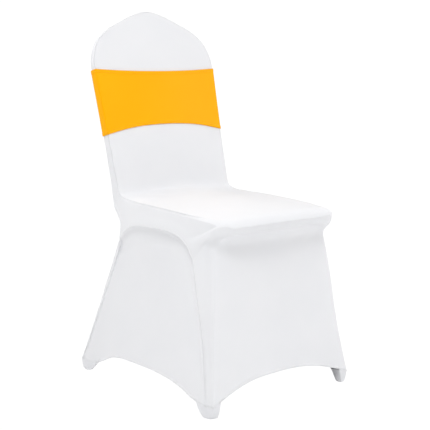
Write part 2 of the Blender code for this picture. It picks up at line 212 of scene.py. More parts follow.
# The front panel below the inside back. half is half its width at that line, tilt the way the row faces: 0
# is level, 90 straight up. round and depth are the corner's size across and in, and bow the middle's rise.
FRONT = (
    # y, z, half, tilt, round, depth, bow, seam_y, seam_z, seam_half
    (121.5, 482, 187.5, 30, 6, 5, 14, 137, 486, 187.5),
    (106, 475.5, 188, 62, 7, 6, 14, 138.5, 469, 188),
    (88, 472.5, 189, 78, 9, 9, 12, 140.5, 452.5, 189),
    (70, 471, 190.5, 84, 11, 11, 10, 120.5, 431, 192),
    (54, 470, 192, 87, 10, 10, 9, 108.5, 405, 196),
    (38, 469, 194, 88, 10, 10, 9, 104.5, 376, 199),
    (20, 468.5, 194.5, 88, 9, 9, 9, 92, 388.5, 200),
    (-2, 468, 195.5, 88, 9, 9, 9, 67, 404.5, 200.5),
    (-35, 466.5, 196.5, 88, 9, 9, 9, 33, 412.5, 201),
    (-75, 464.5, 197, 88, 9, 9, 9, -10, 414.5, 201),
    (-115, 462, 197, 88, 9, 9, 8, -50, 415, 201),
    (-155, 459.5, 196.5, 88, 10, 9, 7, -85, 414, 201),
    (-190, 457.5, 195.5, 87, 14, 10, 6, -108, 410.5, 201),
    (-228, 455.8, 193.5, 76, 22, 12, 5, -126, 404.5, 201),
    (-258.5, 454.4, 191.5, 42, 31, 24, 3, -139, 397, 200.5),
    (-267, 451, 194, 30, 37, 30, 2, -147, 391.5, 200.5),
    (-269.5, 443.5, 198, 18, 42, 33, 2, -154, 386, 200.5),
    (-268.5, 422, 200.5, 2, 44, 35, 1, -161, 377.5, 200.5),
    (-257, 406, 200, 0, 37, 34, 0, -169, 367, 200),
    (-237, 391, 197, 0, 27, 27, -2, -176, 354.5, 200),
    (-239, 362, 200.5, 0, 26, 26, -5, -183, 337, 202),
    (-244, 322, 205, 0, 25, 25, -8, -192, 310, 206),
    (-251, 262, 211.5, 0, 23, 23, -11, -208, 262, 212),
    (-258.5, 188, 219, 0, 21, 21, -12, -230, 188, 219.5),
    (-269, 110, 227, 0, 18, 18, -10, -246, 110, 228),
    (-280.5, POCKET_TOP, 238, 0, 15, 15, -5, -261, POCKET_TOP, 237.5),
)

# The back panel where the backrest ends and the cloth turns in to the waist, then down the rear legs.
REAR_TURN = (
    # y, z, tilt, round, depth, bow
    (163, 482, 14, 12, 12, 3),
    (157, 464, 18, 11, 11, 1),
    (150, 446, 35, 9, 9, -1),
    (129, 425, 35, 8, 8, -3),
    (119, 402, 12, 9, 9, -5),
    (116, 377, -6, 10, 10, -7),
)
REAR_LEG = (
    # y, z, half, tilt, round, depth, bow, seam_y, seam_z, seam_half
    (126, 350, 200.5, -22, 11, 11, -9, 112.5, 347, 200.5),
    (148, 302, 202, -26, 12, 12, -11, 133, 298, 202),
    (185, 226, 203.5, -26, 13, 13, -12, 169, 222, 203.5),
    (220, 152, 206, -20, 14, 14, -11, 204, 149, 206),
    (250, 90, 208, -10, 14, 14, -8, 234, 88, 208),
    (280.5, POCKET_TOP, 210, 0, 14, 14, -4, 263.5, POCKET_TOP, 210),
)
ARCH_ROWS = 12  # rows of the front panel whose seam makes the arch
APRON_ROWS = 5  # its lowest rows, which get one more between each two


def crown_rows():
    """Rows of the inside back: the crown's outline laid on the raked plane, the seam just behind it."""
    rows = []
    for half, z, bow in CROWN:
        y = BACK_FOOT[0] + (z - BACK_FOOT[1]) * tan(RAKE)
        seam_y = y + SEAM_DEPTH * cos(RAKE)
        seam_z = z - SEAM_DEPTH * sin(RAKE)
        rows.append((y, z, half, degrees(RAKE), EDGE_ROUND, SEAM_DEPTH, bow, seam_y, seam_z, half))
    return rows


def halved(rows):
    """The rows with one more between each two, on a curve that never overshoots them."""
    rows = np.array(rows, float)
    step = np.sqrt(((rows[1:, :3] - rows[:-1, :3]) ** 2).sum(1))[:, None]
    slope = np.diff(rows, axis=0) / step
    before, after = slope[:-1], slope[1:]
    same_way = before * after > 0
    bent = np.where(same_way, 2 * before * after / np.where(same_way, before + after, 1.0), 0.0)
    tangent = np.concatenate([slope[:1], bent, slope[-1:]])
    between = (rows[:-1] + rows[1:]) / 2 + (tangent[:-1] - tangent[1:]) * step / 8
    made = np.empty((2 * len(rows) - 1, rows.shape[1]))
    made[0::2] = rows
    made[1::2] = between
    return made


def section(row, along, facing):
    """One row of points, left seam to right: up the side, round the corner and across the face."""
    y, z, half, tilt, across, depth, bow, seam_y, seam_z, seam_half = row
    step = np.array([-along[2], along[0], along[1]])
    step = step / np.linalg.norm(step)
    out = facing * np.array([0.0, -cos(radians(tilt)), sin(radians(tilt))])
    inward = facing * np.cross(out, step)
    inward = inward / np.linalg.norm(inward)
    edge = np.array([-half, y, z])
    seam = np.array([-seam_half, seam_y, seam_z])
    low = edge - out * depth
    points = [seam + (low - seam) * k / SIDE_STEPS for k in range(SIDE_STEPS)]
    for k in range(CORNER_STEPS):
        turn = pi / 2 * k / CORNER_STEPS
        points.append(edge + inward * across * (1 - cos(turn)) - out * depth * (1 - sin(turn)))
    rim = edge + inward * across
    for k in range(HALF_STEPS + 1):
        share = k / HALF_STEPS
        rise = bow * (1 - (1 - share) ** 2) ** 2
        points.append(np.array([rim[0] * (1 - share), rim[1], rim[2]]) + out * rise)
    left = np.array(points)
    return np.concatenate([left, left[-2::-1] * (-1, 1, 1)])


def panel_grid(rows, facing):
    """A panel's outer surface as a grid of points, a section for each row."""
    along = np.gradient(rows[:, :3], axis=0)
    along[0, :2] = 0.0
    level = np.clip((rows[:, 1] - POCKET_TOP) / (LEVEL_BELOW - POCKET_TOP), 0, 1)
    along[:, 0] *= level
    along[:, 2] *= level
    return np.array([section(r, a, facing) for r, a in zip(rows, along)])


def lift_hem(grid, hem_half):
    """The grid with its lower rows arched up into the hem, sliding along the panel's own slope."""
    edge_z = grid[:, 0, 2].copy()
    slopes = (np.gradient(grid[:, 0, 1]) / np.gradient(edge_z))[:, None]
    depth = np.clip((HEM_FADE - edge_z) / (HEM_FADE - POCKET_TOP), 0, None)[:, None]
    across = np.minimum(1.0, abs(grid[:, :, 0]) / hem_half)
    rise = HEM_RISE * depth**2 * (1 - across**HEM_CURVE)
    return grid + np.stack([np.zeros_like(rise), slopes * rise, rise], axis=2)


def side_hem(arch, front_foot, rear_foot):
    """The side panel's lower edge: along the rear pocket, over the hem's arch and along the front one."""
    share = np.linspace(0, 1, len(arch))[:, None]
    points = rear_foot + (front_foot - rear_foot) * share
    y = points[:, 1]
    reach = np.where(y > HEM_PEAK_Y, SIDE_HEM_ENDS[1] - HEM_PEAK_Y, HEM_PEAK_Y - SIDE_HEM_ENDS[0])
    across = np.minimum(1.0, abs(y - HEM_PEAK_Y) / reach)
    points[:, 2] = POCKET_TOP + HEM_RISE * (1 - across**HEM_CURVE)
    return points


def side_grid(arch, front_leg, rear_leg, hem):
    """The left side panel: spanned between its four edges, and drawn in a little between them."""
    s = np.linspace(0, 1, len(arch))[None, :, None]
    t = np.linspace(0, 1, len(rear_leg))[:, None, None]
    spanned = (1 - t) * arch[None] + t * hem[None] + (1 - s) * rear_leg[:, None] + s * front_leg[:, None]
    corners = (1 - s) * ((1 - t) * arch[0] + t * hem[0]) + s * ((1 - t) * arch[-1] + t * hem[-1])
    drawn_in = 16 * s * (1 - s) * t * (1 - t)  # 1 at the panel's middle, 0 along its edges
    return spanned - corners + np.array([SIDE_BOW, 0, 0]) * drawn_in


def grid_faces(down, across, turned=False, closed=False):
    """Quads of a grid of down by across points, numbered row by row."""
    faces = []
    for i in range(down - 1):
        for j in range(across if closed else across - 1):
            right = (j + 1) % across
            quad = [i * across + j, (i + 1) * across + j, (i + 1) * across + right, i * across + right]
            faces.append(quad[::-1] if turned else quad)
    return faces


def welded(groups):
    """Groups of points and faces as one mesh: points that share a place made one, flat faces dropped."""
    index, kept, made, owner = {}, [], [], []
    for number, (points, faces) in enumerate(groups):
        local = []
        for point in points:
            key = tuple(int(round(c * PLACES)) for c in point)
            if key not in index:
                index[key] = len(kept)
                kept.append(point)
            local.append(index[key])
        for face in faces:
            corners = list(dict.fromkeys(local[c] for c in face))
            if len(corners) > 2:
                made.append(corners)
                owner.append(number)
    return np.array(kept), made, owner


def mesh_object(name, points, faces):
    """A smooth mesh object from points in millimetres."""
    mesh = bpy.data.meshes.new(name)
    places = [tuple(float(c) * MM for c in point) for point in points]
    mesh.from_pydata(places, [], [tuple(int(corner) for corner in face) for face in faces])
    mesh.shade_smooth()
    made = bpy.data.objects.new(name, mesh)
    bpy.context.scene.collection.objects.link(made)
    return made


def points_of(mesh):
    flat = np.empty(len(mesh.vertices) * 3)
    mesh.vertices.foreach_get("co", flat)
    return flat.reshape(-1, 3) / MM


def normals_of(mesh):
    flat = np.empty(len(mesh.vertices) * 3)
    mesh.vertex_normals.foreach_get("vector", flat)
    return flat.reshape(-1, 3)


def finished_mesh(holder):
    """A plain mesh of the object as its modifiers make it."""
    depsgraph = bpy.context.evaluated_depsgraph_get()
    return bpy.data.meshes.new_from_object(holder.evaluated_get(depsgraph))


def finer(points, faces, owner, levels):
    """The surface subdivided, its control points first moved out so that it still passes through them."""
    coarse = mesh_object("cloth_cage", points, faces)
    coarse.data.polygons.foreach_set("material_index", owner)
    for _ in range(max(owner) + 1):
        coarse.data.materials.append(None)
    smoother = coarse.modifiers.new("smooth", "SUBSURF")
    smoother.levels = smoother.render_levels = levels
    moved = points_of(coarse.data) + points - points_of(finished_mesh(coarse))[: len(points)]
    coarse.data.vertices.foreach_set("co", (moved * MM).ravel())
    coarse.data.update()
    fine = finished_mesh(coarse)
    owners = np.empty(len(fine.polygons), dtype=np.int32)
    fine.polygons.foreach_get("material_index", owners)
    corners = np.empty(len(fine.polygons) * 4, dtype=np.int32)
    fine.polygons.foreach_get("vertices", corners)
    bpy.data.objects.remove(coarse)
    return points_of(fine), corners.reshape(-1, 4), owners


def surface_normals(points, quads):
    mesh = bpy.data.meshes.new("measure")
    mesh.from_pydata(points.tolist(), [], quads.tolist())
    normals = normals_of(mesh)
    bpy.data.meshes.remove(mesh)
    return normals


crown = crown_rows()
front_rows = np.concatenate([np.array(crown + list(FRONT))[:-APRON_ROWS], halved(FRONT[-APRON_ROWS:])])
waist = len(CROWN) + len(REAR_TURN) - 1
rear_rows = front_rows[: waist + 1].copy()
rear_rows[:, 0] += np.interp(-rear_rows[:, 1], *BACK_THICKNESS)
rear_rows[:, 1] -= np.interp(-rear_rows[:, 1], *REAR_DROP)
ROUND_AND_DEPTH = slice(4, 6)
ALL_BUT_HALF = [0, 1, 3, 4, 5, 6]  # the columns that REAR_TURN gives, because its width is the front panel's
rear_rows[:, ROUND_AND_DEPTH] = BACK_ROUND
rear_rows[len(CROWN) :, ALL_BUT_HALF] = REAR_TURN
rear_rows = np.concatenate([rear_rows, halved([rear_rows[-1], *REAR_LEG])[1:]])

front = lift_hem(panel_grid(front_rows, 1), FRONT_HEM_HALF)
rear = lift_hem(panel_grid(rear_rows, -1), REAR_HEM_HALF)
arch = front[waist : waist + ARCH_ROWS + 1, 0]
front_leg, rear_leg = front[waist + ARCH_ROWS :, 0], rear[waist:, 0]
hem = side_hem(arch, front_leg[-1], rear_leg[-1])
left = side_grid(arch, front_leg, rear_leg, hem)

FRONT_PANEL, BACK_PANEL, LEFT_PANEL, RIGHT_PANEL = range(4)
cage = welded(
    [
        (front.reshape(-1, 3), grid_faces(front.shape[0], front.shape[1])),
        (rear.reshape(-1, 3), grid_faces(rear.shape[0], rear.shape[1], turned=True)),
        (left.reshape(-1, 3), grid_faces(left.shape[0], left.shape[1])),
        ((left * (-1, 1, 1)).reshape(-1, 3), grid_faces(left.shape[0], left.shape[1], turned=True)),
    ]
)
shell, shell_quads, shell_panel = finer(*cage, SUBDIVISIONS)
shell_normals = surface_normals(shell, shell_quads)


def chains(edges):
    """Edges as (a, b) pairs, joined up into lists of points in order, each open or closed on itself."""
    after = {}
    for a, b in edges:
        after.setdefault(a, []).append(b)
        after.setdefault(b, []).append(a)
    unused = {tuple(sorted(edge)) for edge in edges}
    ends = [v for v, near in after.items() if len(near) == 1]
    made = []
    while unused:
        start = ends.pop() if ends else min(unused)[0]
        chain = [start]
        while True:
            step = [v for v in after[chain[-1]] if tuple(sorted((chain[-1], v))) in unused]
            if not step:
                break
            unused.discard(tuple(sorted((chain[-1], step[0]))))
            chain.append(step[0])
        if len(chain) > 1:
            made.append(chain)
    return made


def edge_owners(quads, owners):
    """Each edge of the surface with the panels on its two sides, -1 standing for none."""
    sides = {}
    for quad, owner in zip(quads.tolist(), owners.tolist()):
        for a, b in zip(quad, quad[1:] + quad[:1]):
            sides.setdefault((min(a, b), max(a, b)), []).append(owner)
    return {edge: tuple(sorted(own)) if len(own) > 1 else (-1, own[0]) for edge, own in sides.items()}


def distance_to(points, lines):
    """How far each point lies from the nearest point of the lines."""
    near = KDTree(len(lines))
    for k, place in enumerate(lines):
        near.insert(place, k)
    near.balance()
    return np.array([near.find(place)[2] for place in points])


def bump(distance, width):
    """A soft bell: 1 at no distance, and next to nothing from three widths on."""
    return np.exp(-((distance / width) ** 2))


def risen(heights, start, full):
    """0 up to one height, 1 from the other one on, and in proportion between them."""
    return np.clip((heights - start) / (full - start), 0, 1)


def edges_between(edges, first, others):
    """The edges that have the first owner on one side and one of the others on the other."""
    return [edge for edge, own in edges.items() if own in [(first, other) for other in others]]


shell_edges = edge_owners(shell_quads, shell_panel)
arch_edges = edges_between(shell_edges, FRONT_PANEL, (LEFT_PANEL, RIGHT_PANEL))
back_edges = edges_between(shell_edges, FRONT_PANEL, (BACK_PANEL,))
rear_leg_edges = edges_between(shell_edges, BACK_PANEL, (LEFT_PANEL, RIGHT_PANEL))
hem_edges = edges_between(shell_edges, -1, range(RIGHT_PANEL + 1))

# Where the knit is pulled over the chair it draws in behind the arch seams and over the seat's rail, swells
# over the cushion's edge, and has soft drag lines from the nose's corners and the seat's rear corners.
ARCH_RECESS = (6.5, 8.5, 17, 30.6)  # depth, its run-in at the arch seam, where it is deepest, its run-out
RECESS_FADE = (45, 130)  # it grows between these heights, above the foot pocket
ARCH_SWELL = (3.5, 24)  # the seams of the arches stand this proud, over this width on each side
SWELL_FADE = (150, 300)  # and this grows between these
RAIL_TROUGH = (6.5, 331, 60, 150)  # depth, height, reach upwards, reach downwards
RAIL_ROUND = 0.2  # how round the trough's bottom is, where 0 is a crease
RAIL_ENDS = (40, -20, 170)  # it starts this far from the arch seams, and its middle and half length in y
RIM_RIDGE = (0.9, 5)  # rise and half width of the ridge that the seat's edge makes along its sides
RIM_ROWS = (3, 13)  # rows of FRONT that it runs along
RIM_PLACES = 12  # places along it from one row to the next
DRAG_ENDS = 0.05  # a drag line keeps a little of its depth at its ends
DRAG_FULLNESS = 0.7  # power of its depth along it: 1 is a half wave, less is fuller
DRAG_LINES = (
    # x, y, z where each starts, where it ends, depth, width
    ((178, -246, 418), (118, -238, 352), -1.8, 13),
    ((178, -253, 407), (72, -260, 410), -7.5, 12),
    ((112, -260, 410), (-112, -260, 410), -3.4, 12),
    ((160, -240, 408), (30, -236, 372), -1.1, 14),
    ((186, -232, 385), (206, -243, 245), 1.3, 10),
    ((150, 112, 478), (70, 60, 484), 1.1, 12),
    ((172, 96, 474), (180, -20, 471), 0.9, 9),
    ((168, -255, 445), (60, -262, 438), 0.7, 8),
    ((205, 70, 372), (200, -40, 392), 0.8, 9),
)

sides = np.zeros(len(shell), dtype=bool)
sides[np.unique(shell_quads[shell_panel >= LEFT_PANEL])] = True
arch_points = shell[np.unique(np.array(arch_edges))]
from_arch = distance_to(shell, arch_points)
relief = np.zeros(len(shell))
depth, near, deepest, far = ARCH_RECESS
recess = depth * (1 - bump(from_arch, near)) * bump(from_arch - deepest, far)
relief -= sides * recess * risen(shell[:, 2], *RECESS_FADE)
rise, wide = ARCH_SWELL
relief += rise * bump(from_arch, wide) * risen(shell[:, 2], *SWELL_FADE)
depth, height, upwards, downwards = RAIL_TROUGH
clear, middle, long = RAIL_ENDS
rail_off = (shell[:, 2] - height) / np.where(shell[:, 2] > height, upwards, downwards)
trough = depth * np.exp(RAIL_ROUND - np.sqrt(rail_off**2 + RAIL_ROUND**2))
relief -= sides * trough * risen(from_arch, 0, clear) * bump(shell[:, 1] - middle, long)
first, last = RIM_ROWS
rim = front[len(CROWN) + first : len(CROWN) + last, SIDE_STEPS + CORNER_STEPS - 1]
rim = np.concatenate([rim[:-1] + (rim[1:] - rim[:-1]) * share for share in np.linspace(0, 1, RIM_PLACES)])
rise, wide = RIM_RIDGE
on_left = np.column_stack([-abs(shell[:, 0]), shell[:, 1:]])
relief += rise * bump(distance_to(on_left, rim), wide)
for start, end, rise, wide in DRAG_LINES:
    for mirror in (-1, 1):
        a = np.array(start) * (mirror, 1, 1)
        b = np.array(end) * (mirror, 1, 1)
        share = np.clip((shell - a) @ (b - a) / ((b - a) @ (b - a)), 0, 1)
        off = np.linalg.norm(shell - a - share[:, None] * (b - a), axis=1)
        fullness = np.sin(pi * (DRAG_ENDS + (1 - 2 * DRAG_ENDS) * share)) ** DRAG_FULLNESS
        relief += rise * bump(off, wide) * fullness
shell = shell + shell_normals * relief[:, None]
shell_normals = surface_normals(shell, shell_quads)


def pulled_in(points, quads, normals, gap):
    """The points with those on the border moved in by the gap, along the surface."""
    edges = {}
    for quad in quads.tolist():
        for a, b in zip(quad, quad[1:] + quad[:1]):
            edges[(a, b)] = True
    rim = [(a, b) for a, b in edges if (b, a) not in edges]
    pull = np.zeros_like(points)
    for a, b in rim:
        inward = np.cross(normals[a] + normals[b], points[b] - points[a])
        inward = inward / max(1e-9, np.linalg.norm(inward))
        pull[[a, b]] += inward
    length = np.linalg.norm(pull, axis=1)
    moved = length > 0
    points = points.copy()
    points[moved] += pull[moved] / length[moved, None] * gap
    return points, rim


def cloth_piece(name, points, quads, normals, thickness, gap):
    """A closed sheet of cloth: the outer face as given, the inner one a thickness behind it, and a rim."""
    outer, rim = pulled_in(points, quads, normals, gap)
    inner = outer - normals * thickness
    count = len(outer)
    walls = np.array([(b, a, a + count, b + count) for a, b in rim], dtype=int).reshape(-1, 4)
    faces = np.concatenate([quads, quads[:, ::-1] + count, walls])
    return mesh_object(name, np.concatenate([outer, inner]), faces)


def panel_piece(name, panel):
    """One panel of the shell as a closed sheet."""
    quads = shell_quads[shell_panel == panel]
    used, local = np.unique(quads, return_inverse=True)
    return cloth_piece(name, shell[used], local.reshape(-1, 4), shell_normals[used], CLOTH, SEAM_GAP / 2)


# White warp knit of polyester and elastane: matt, with a faint nap that lights up at grazing angles, and
# fine wales that run down the cloth. They are 0.6 mm apart, and are drawn 2.4 mm apart so that they show.
WALE = 2.4 * MM
WAVE_PERIOD = 0.31416  # the wave texture's own period at a scale of 1
COURSE_SHARE = 0.5  # how high the rows across stand, as a share of the wales


def warp_knit(name, colour, shade, wale_axis, roughness, sheen, relief, tint_colour="#FFFFFF"):
    """A knit of one colour that clouds a little towards a shade, with its wales across the given axis."""
    material, surface = new_material(name)
    place = add_node(material, "ShaderNodeTexCoord").outputs["Object"]
    cloud = add_node(
        material, "ShaderNodeTexNoise", inputs={"Scale": 9.0, "Detail": 3.0}, links={"Vector": place}
    )
    tint = add_node(
        material,
        "ShaderNodeMix",
        settings={"data_type": "RGBA"},
        inputs={"A": linear(colour), "B": linear(shade)},
        links={"Factor": cloud.outputs["Fac"]},
    )
    wales = add_node(
        material,
        "ShaderNodeTexWave",
        settings={"bands_direction": wale_axis},
        inputs={"Scale": WAVE_PERIOD / WALE, "Distortion": 0.6, "Detail Scale": 2.0},
        links={"Vector": place},
    )
    courses = add_node(
        material,
        "ShaderNodeTexWave",
        settings={"bands_direction": "Z"},
        inputs={"Scale": WAVE_PERIOD / WALE, "Distortion": 0.8, "Detail Scale": 2.0},
        links={"Vector": place},
    )
    loops = add_node(
        material,
        "ShaderNodeMath",
        settings={"operation": "MULTIPLY_ADD"},
        inputs={1: COURSE_SHARE},
        links={0: courses.outputs["Fac"], 2: wales.outputs["Fac"]},
    )
    nap = add_node(
        material,
        "ShaderNodeBump",
        inputs={"Strength": 0.5, "Distance": relief * MM},
        links={"Height": loops.outputs[0]},
    )
    skin = add_node(
        material,
        "ShaderNodeBsdfPrincipled",
        inputs={
            "Roughness": roughness,
            "Sheen Weight": sheen,
            "Sheen Roughness": 0.35,
            "Sheen Tint": linear(tint_colour),
            "Specular Tint": linear(tint_colour),
            "IOR": 1.46,
        },
        links={"Base Color": tint.outputs["Result"], "Normal": nap.outputs["Normal"]},
    )
    material.node_tree.links.new(skin.outputs[0], surface)
    return material


# The wales lie side by side across the chair on the front and back, and from front to rear on the sides.
WHITE_KNIT = {"colour": "#E9E9EB", "shade": "#E3E4E7", "roughness": 0.78, "sheen": 0.22, "relief": 0.05}
front_knit = warp_knit("white_warp_knit", wale_axis="X", **WHITE_KNIT)
side_knit = warp_knit("white_warp_knit_side", wale_axis="Y", **WHITE_KNIT)

panels = {}
for name, panel, node, knit in (
    ("cover_front", FRONT_PANEL, "front_panel", front_knit),
    ("cover_back", BACK_PANEL, "back_panel", front_knit),
    ("cover_side_left", LEFT_PANEL, "side_panel_left", side_knit),
    ("cover_side_right", RIGHT_PANEL, "side_panel_right", side_knit),
):
    piece = panel_piece(name, panel)
    piece.data.materials.append(knit)
    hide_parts(node)
    panels[name] = piece

# ---------------------------------------------------------------------------------------------------------
# Seams: the panels are overlocked together inside, so outside each seam is a narrow welt with a line down
# its middle, and a slimmer, round one above the foot pockets. Along the arches the front cloth swells into a
# soft lip that hides the seam.
# ---------------------------------------------------------------------------------------------------------
# Each outline is pairs of a place across the seam and a height over the cloth.
WELT_SIDE = ((2.6, -0.5), (1.9, 0.25), (1.0, 0.55), (0.25, 0.3))
WELT = (*((-across, out) for across, out in WELT_SIDE), *WELT_SIDE[::-1])
POCKET_WELT = ((-1.5, -0.5), (-1.0, 0.15), (0.0, 0.3), (1.0, 0.15), (1.5, -0.5))
LIP = ((-1.8, -0.9), (-1.3, 0.0), (-0.5, 0.6), (0.6, 0.75), (1.8, 0.45), (3.0, -0.3))


def swept_strip(rails, profile):
    """Points and faces of one outline of (across, out) pairs swept along rails, its ends closed."""
    points, faces = [], []
    for line, across, out, closed in rails:
        start, count, size = len(points), len(line), len(profile)
        for place, side, up in zip(line, across, out):
            points.extend(place + side * s + up * h for s, h in profile)
        for i in range(count if closed else count - 1):
            a, b = start + i * size, start + (i + 1) % count * size
            for k in range(size):
                n = (k + 1) % size
                faces.append((a + k, b + k, b + n, a + n))
        if not closed:
            last = start + (count - 1) * size
            faces.append(tuple(range(start, start + size)))
            faces.append(tuple(range(last + size - 1, last - 1, -1)))
    return np.array(points), faces


def rail(points, normals, quads, chain):
    """A chain of a surface's points with, at each, the way across into these quads and the way out."""
    closed = chain[0] == chain[-1]
    chain = np.array(chain[:-1] if closed else chain)
    line = points[chain]
    ahead = np.roll(line, -1, axis=0) - np.roll(line, 1, axis=0)
    if not closed:
        ahead[0], ahead[-1] = line[1] - line[0], line[-1] - line[-2]
    ahead /= np.linalg.norm(ahead, axis=1)[:, None]
    inward = np.zeros_like(points)
    centres = points[quads].mean(axis=1)
    for corner in range(4):
        np.add.at(inward, quads[:, corner], centres - points[quads[:, corner]])
    across, out = inward[chain], normals[chain]
    across = across - (across * ahead).sum(1)[:, None] * ahead
    across = across - (across * out).sum(1)[:, None] * out
    across /= np.linalg.norm(across, axis=1)[:, None]
    return line, across, out, closed


def runs(chain, kept):
    """The stretches of a closed chain whose points are kept, each as an open chain of four points or more."""
    ring = chain[:-1]
    start = next((k for k, point in enumerate(ring) if not kept[point]), 0)
    made = [[]]
    for point in ring[start:] + ring[:start]:
        if kept[point]:
            made[-1].append(point)
        elif made[-1]:
            made.append([])
    return [run for run in made if len(run) > 3]


def rails_where(kept, border, points, normals, quads):
    """Rails along the stretches of the border's chains whose points are kept."""
    return [rail(points, normals, quads, run) for chain in border for run in runs(chain, kept)]


def strip_piece(name, rails, profile, material):
    """A swept strip as an object, its faces turned outwards."""
    points, faces = swept_strip(rails, profile)
    piece = mesh_object(name, points, faces)
    solid = bmesh.new()
    solid.from_mesh(piece.data)
    bmesh.ops.recalc_face_normals(solid, faces=solid.faces)
    solid.to_mesh(piece.data)
    solid.free()
    piece.data.shade_smooth()
    piece.data.materials.append(material)
    return piece


front_quads, back_quads = (shell_quads[shell_panel == panel] for panel in (FRONT_PANEL, BACK_PANEL))
arch_rails = [rail(shell, shell_normals, front_quads, chain) for chain in chains(arch_edges)]
back_rails = [rail(shell, shell_normals, front_quads, chain) for chain in chains(back_edges)]
leg_rails = [rail(shell, shell_normals, back_quads, chain) for chain in chains(rear_leg_edges)]
arch_lip = strip_piece("seam_lip_arches", arch_rails, LIP, front_knit)
back_welt = strip_piece("seam_welt_back", back_rails, WELT, front_knit)
leg_welt = strip_piece("seam_welt_rear_legs", leg_rails, WELT, front_knit)

# ---------------------------------------------------------------------------------------------------------
# Hems: the cover's lower edge is the same knit, turned in once and sewn down with two rows of stitches in
# white polyester thread. One row of it holds the seams of the back and the rear legs flat.
# ---------------------------------------------------------------------------------------------------------
HEM_WIDTH = 7.0
POCKETS = (
    # name, facing, corner_x, corner_y, round, side_top, side_floor, face_top, face_floor, in_top, in_floor
    ("front", 1, -238, -280.5, 15, -226, -252, -204, -214, (-203, -237), (-210, -252)),
    ("rear", -1, -210, 280.5, 14, 190, 247, -171, -184, (-178, 232), (-182, 250)),
)
HEM = (
    (HEM_WIDTH, -0.4),
    (HEM_WIDTH - 0.6, 0.35),
    (5.0, 0.55),
    (1.4, 0.55),
    (0.2, 0.3),
    (-0.4, -0.5),
    (0.2, -1.3),
    (1.4, -1.6),
    (5.0, -1.6),
    (HEM_WIDTH, -0.9),
)
lower_edge = chains(hem_edges)
arched = np.ones(len(shell), dtype=bool)
for pocket in POCKETS:
    facing, side_top, face_top = pocket[1], pocket[5], pocket[7]
    arched &= (facing * (shell[:, 1] - side_top) > 0) | (abs(shell[:, 0]) < -face_top)
hem_rails = rails_where(arched, lower_edge, shell, shell_normals, shell_quads)
hem_fold = strip_piece("hem_fold", hem_rails, HEM, front_knit)
pocket_rails = rails_where(~arched, lower_edge, shell, shell_normals, shell_quads)
pocket_welt = strip_piece("seam_welt_pockets", pocket_rails, POCKET_WELT, front_knit)


def sewing_thread(name, colour):
    """Spun polyester thread: finer and less matt than the knit, so that its stitches catch the light."""
    material, surface = new_material(name)
    inputs = {"Base Color": linear(colour), "Roughness": 0.5}
    skin = add_node(material, "ShaderNodeBsdfPrincipled", inputs=inputs)
    material.node_tree.links.new(skin.outputs[0], surface)
    return material


def stitch_lines(rails, rows):
    """Each row's (across, out) pair as lines of points, that far across the rails and over the cloth."""
    return [
        (line + side * across + up * out, closed)
        for across, out in rows
        for line, side, up, closed in rails
    ]


